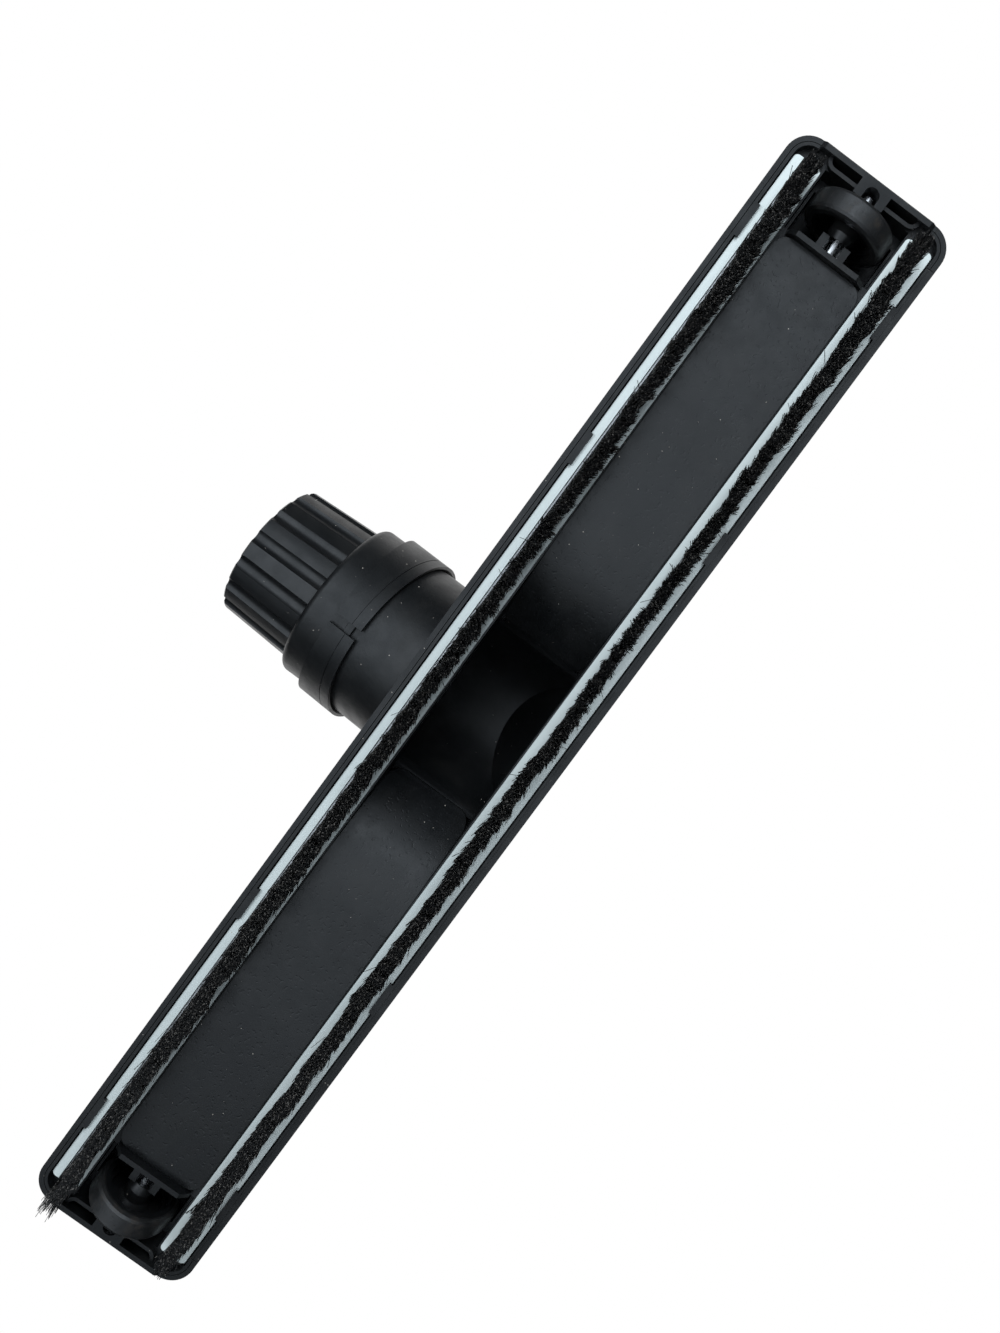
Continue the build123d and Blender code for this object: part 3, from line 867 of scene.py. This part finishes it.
def floor_material():
    """Pale matt floor, see-through from below, to light and to reflections."""
    material = bpy.data.materials.new("pale_floor")
    material.use_nodes = True
    tree = material.node_tree
    shader = tree.nodes["Principled BSDF"]
    shader.inputs["Base Color"].default_value = floor_tone
    shader.inputs["Roughness"].default_value = 0.7
    clear = add_node(tree, "ShaderNodeBsdfTransparent")
    back = add_node(tree, "ShaderNodeNewGeometry")
    ray = add_node(tree, "ShaderNodeLightPath")
    unseen = combine(tree, "MAXIMUM", back.outputs["Backfacing"], ray.outputs["Is Shadow Ray"])
    unseen = combine(tree, "MAXIMUM", unseen, ray.outputs["Is Glossy Ray"])
    choice = add_node(tree, "ShaderNodeMixShader")
    join(tree, unseen, choice.inputs[0])
    join(tree, shader.outputs[0], choice.inputs[1])
    join(tree, clear.outputs[0], choice.inputs[2])
    join(tree, choice.outputs[0], tree.nodes["Material Output"].inputs["Surface"])
    return material


def add_floor():
    """Floor a hair under the tips of the bristles."""
    shape = bmesh.new()
    bmesh.ops.create_grid(shape, x_segments=1, y_segments=1, size=floor_size)
    floor = put_in_scene("floor", mesh_from("floor", shape))
    floor.location.z = floor_height
    floor.data.materials.append(floor_material())
    return floor


print("stage:", add_floor().name)

# %% White background and soft even light
ambient_tone = (0.27, 0.29, 0.31, 1)
white = (1.0, 1.0, 1.0, 1)


def add_world():
    """White to the camera and in reflections, soft grey as a light."""
    world = bpy.data.worlds.new("studio")
    bpy.context.scene.world = world
    world.use_nodes = True
    tree = world.node_tree
    ray = add_node(tree, "ShaderNodeLightPath")
    seen = combine(tree, "MAXIMUM", ray.outputs["Is Camera Ray"], ray.outputs["Is Glossy Ray"])
    seen = combine(tree, "MAXIMUM", seen, ray.outputs["Is Transmission Ray"])
    tone = blend_colour(tree, seen, ambient_tone, white)
    join(tree, tone, tree.nodes["Background"].inputs["Color"])
    return world


print("world:", add_world().name)


# %% Lamps
def add_lamp(name, place, aim, size, power):
    """Square soft lamp of a size in metres and a power in watts, turned towards an aim."""
    lamp = bpy.data.lights.new(name, "AREA")
    lamp.size = size
    lamp.energy = power
    holder = bpy.data.objects.new(name, lamp)
    holder.location = place
    holder.rotation_euler = (Vector(aim) - Vector(place)).to_track_quat("-Z", "Y").to_euler()
    holder.visible_glossy = False
    bpy.context.scene.collection.objects.link(holder)
    print(name, power, "W")


add_lamp("key_below", (-0.70, 0.10, -0.50), (-0.10, 0, 0), 0.40, 7.5)
add_lamp("neck_light", (0.12, 0.50, -0.60), (0, 0.05, 0), 0.30, 3.0)
add_lamp("fill_below", (0.75, -0.30, -0.60), (0.05, 0, 0), 0.50, 2.5)
add_lamp("top_light", (-0.3, -0.4, 1.3), (0, 0, 0), 0.9, 14.0)

# %% [markdown]
# ## A bowl for the reflections
#
# Black plastic shows mostly what it reflects. A studio hangs dark cloth round black things and
# leaves one bright opening, so that their sides stay dark and their faces shine. Here one open bowl
# reaches from below the floor to one metre above it. It is bright straight below the head, brighter
# towards one end and the neck, and dark cloth further out. Only reflections see it. The lamps are
# kept out of them, because a lamp would show as a hard spot on the smooth sole.

# %% Where the bowl is bright, in shares of its radius
bowl_radius = 2.5
opening_centre = (0.02, 0.15)
opening_edges = (0.42, 0.80)
end_glow_range, end_glow = (-0.50, -0.20), 1.1
neck_glow_start, neck_glow_stop, neck_glow = (0.20, 0.42), (0.57, 0.68), 1.1
glow_beyond_neck = 0.2
plain_glow = 0.95
open_side = (0.90, 1.00, 1.10, 1)
cloth_side = (0.012, 0.014, 0.016, 1)


def spread_over_bowl(tree, value, edges, new_low, new_high):
    """Map a place in the bowl, between two shares of its radius, onto another range."""
    low, high = (share * bowl_radius for share in edges)
    return spread(tree, value, low, high, new_low, new_high)


def opening_share(tree, place):
    """0 inside the bright opening and 1 on the cloth."""
    squares = []
    for axis, centre in zip("XY", opening_centre):
        offset = combine(tree, "SUBTRACT", place.outputs[axis], centre * bowl_radius)
        squares.append(combine(tree, "MULTIPLY", offset, offset))
    far = combine(tree, "SQRT", combine(tree, "ADD", *squares))
    upper = combine(tree, "GREATER_THAN", place.outputs["Z"], 0.0)
    return combine(tree, "MAXIMUM", spread_over_bowl(tree, far, opening_edges, 0.0, 1.0), upper)


# %% Material of the bowl
def cloth_material():
    """Bright opening in dark cloth, which gives light only to reflections."""
    material = bpy.data.materials.new("dark_cloth")
    material.use_nodes = True
    tree = material.node_tree
    shader = tree.nodes["Principled BSDF"]
    shader.inputs["Base Color"].default_value = (0, 0, 0, 1)
    shader.inputs["Specular IOR Level"].default_value = 0.0
    place = add_node(tree, "ShaderNodeSeparateXYZ")
    join(tree, tree.nodes.new("ShaderNodeTexCoord").outputs["Object"], place.inputs[0])
    tone = blend_colour(tree, opening_share(tree, place), open_side, cloth_side)
    join(tree, tone, shader.inputs["Emission Color"])
    x, y = place.outputs["X"], place.outputs["Y"]
    towards_end = spread_over_bowl(tree, x, end_glow_range, end_glow, 0.0)
    neck_start = spread_over_bowl(tree, y, neck_glow_start, 0.0, neck_glow)
    neck_stop = spread_over_bowl(tree, y, neck_glow_stop, 1.0, glow_beyond_neck)
    towards_neck = combine(tree, "MULTIPLY", neck_start, neck_stop)
    strength = combine(tree, "ADD", combine(tree, "ADD", towards_end, towards_neck), plain_glow)
    join(tree, strength, shader.inputs["Emission Strength"])
    return material


# %% The bowl
bowl_rim_height = 1.0


def add_bowl():
    """Open bowl round the head, seen by reflections only."""
    shape = bmesh.new()
    bmesh.ops.create_uvsphere(shape, u_segments=48, v_segments=24, radius=bowl_radius)
    bmesh.ops.bisect_plane(shape, geom=everything(shape), plane_co=(0, 0, bowl_rim_height),
                           plane_no=(0, 0, 1), clear_outer=True)
    bmesh.ops.reverse_faces(shape, faces=shape.faces[:])
    bowl = put_in_scene("dark_bowl", mesh_from("dark_bowl", shape))
    bowl.data.materials.append(cloth_material())
    bowl.visible_camera = False
    bowl.visible_shadow = False
    bowl.visible_diffuse = False
    return bowl


print("stage:", add_bowl().name)
